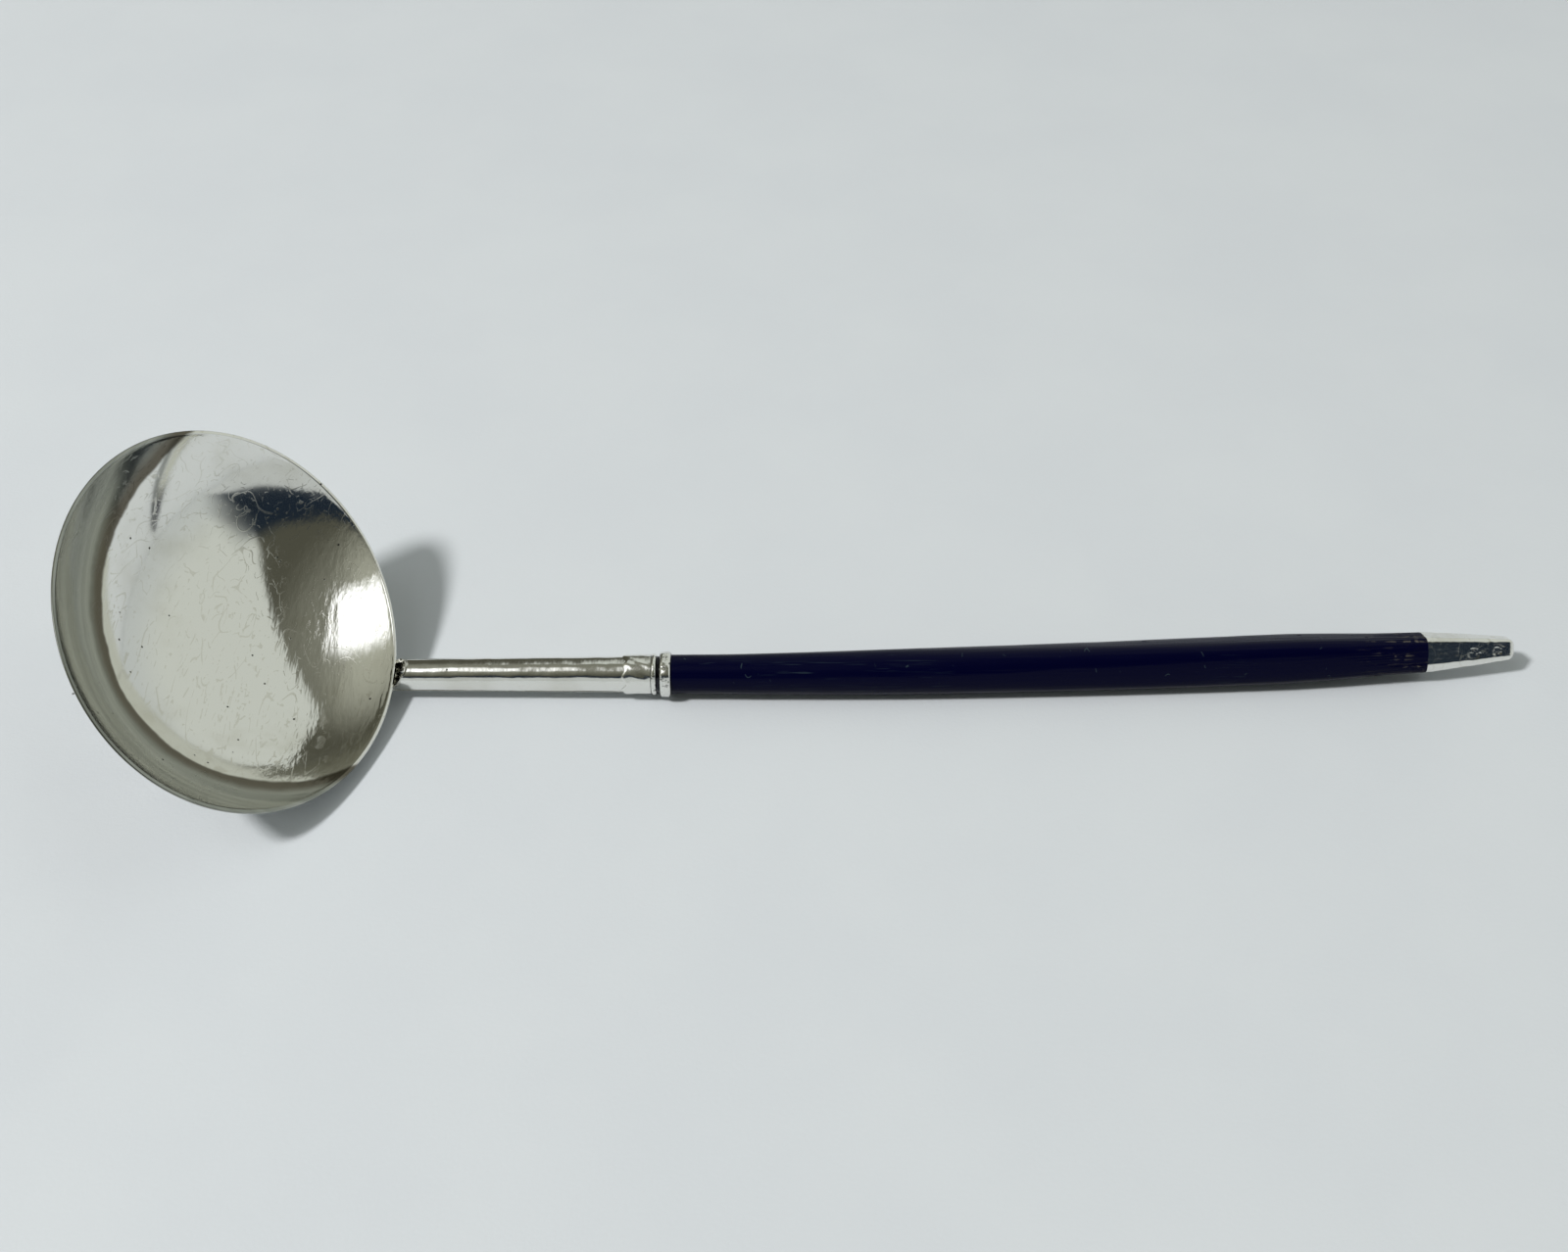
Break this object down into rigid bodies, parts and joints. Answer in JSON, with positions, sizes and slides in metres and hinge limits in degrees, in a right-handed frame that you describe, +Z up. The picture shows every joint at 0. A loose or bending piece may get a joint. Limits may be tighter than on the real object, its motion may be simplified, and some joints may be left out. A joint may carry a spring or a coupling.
{
  "type": "ladle",
  "caption": "Small silver ladle with a raised oval bowl, a rolled tubular stem with turned rings, and a dark fibrous handle with a silver end cap, lying on a table.",
  "frame": {"origin": "bottom centre of the ladle's box as it lies on a table", "axes": "+X along the stem towards the handle's tip, +Y to the side that the bowl leans away from, +Z up"},
  "size_m": [0.179, 0.0502, 0.0328],
  "materials": {
    "polished_silver": "polished raised silver sheet with fine hairline scratches and small pits",
    "worn_silver": "polished silver, softened edges, light tarnish in the grooves",
    "silver_solder": "dull grey silver solder, slightly pitted",
    "dark_horn": "near-black fibrous baleen or horn, polished, with lengthwise fibres",
    "cement": "dark brown resin cement"
  },
  "bodies": {
    "root": {"bowl": "polished_silver", "bowl_solder": "silver_solder", "stem_tube": "worn_silver", "stem_seam": "silver_solder", "socket_collar": "worn_silver", "front_bead": "worn_silver", "rear_ring": "worn_silver", "handle": "dark_horn", "socket_pin": "silver_solder", "socket_cement": "cement", "end_cap": "worn_silver", "cap_cement": "cement"}
  },
  "joints": []
}
